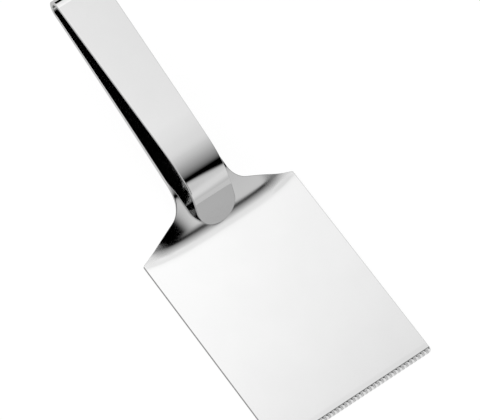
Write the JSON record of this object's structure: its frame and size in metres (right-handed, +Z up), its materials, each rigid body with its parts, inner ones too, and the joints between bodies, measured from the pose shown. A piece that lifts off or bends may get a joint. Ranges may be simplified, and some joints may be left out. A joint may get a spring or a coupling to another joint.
{
  "type": "serving spatula",
  "caption": "Flat serving spatula of folded polished sheet steel, with a fluted front edge and a loop handle that ends in a round tongue.",
  "frame": {"origin": "centre of the bounding box in plan, on the flat underside of the blade", "axes": "+X from the handle's fold to the blade's front edge, +Y across the blade, +Z up from the table"},
  "size_m": [0.2374, 0.09, 0.0442],
  "materials": {
    "steel": "mirror polished stainless steel"
  },
  "bodies": {
    "root": {"spatula": "steel"}
  },
  "joints": []
}
